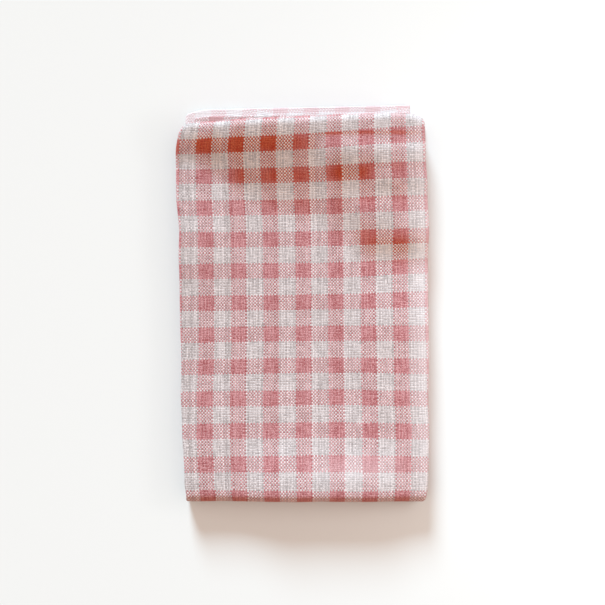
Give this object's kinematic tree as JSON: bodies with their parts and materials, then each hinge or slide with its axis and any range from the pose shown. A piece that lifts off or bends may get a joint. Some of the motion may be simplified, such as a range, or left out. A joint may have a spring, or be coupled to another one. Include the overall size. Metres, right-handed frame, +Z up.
{
  "type": "tea towel",
  "caption": "Gingham checked tea towel folded flat in three each way, with a loose roll at one end and a hemmed end reaching out behind it.",
  "frame": {"origin": "middle of the bounding box in plan, on the surface that the towel rests on", "axes": "+Y along the towel towards the loose roll and the hemmed end, +X to the right of the top panel, +Z up"},
  "size_m": [0.1576, 0.2498, 0.0252],
  "materials": {
    "gingham_cloth": "matte plain-weave cotton and linen cloth, dyed in the yarn, in red and off-white checks of 10 mm"
  },
  "bodies": {
    "root": {"tea_towel": "gingham_cloth"}
  },
  "joints": []
}
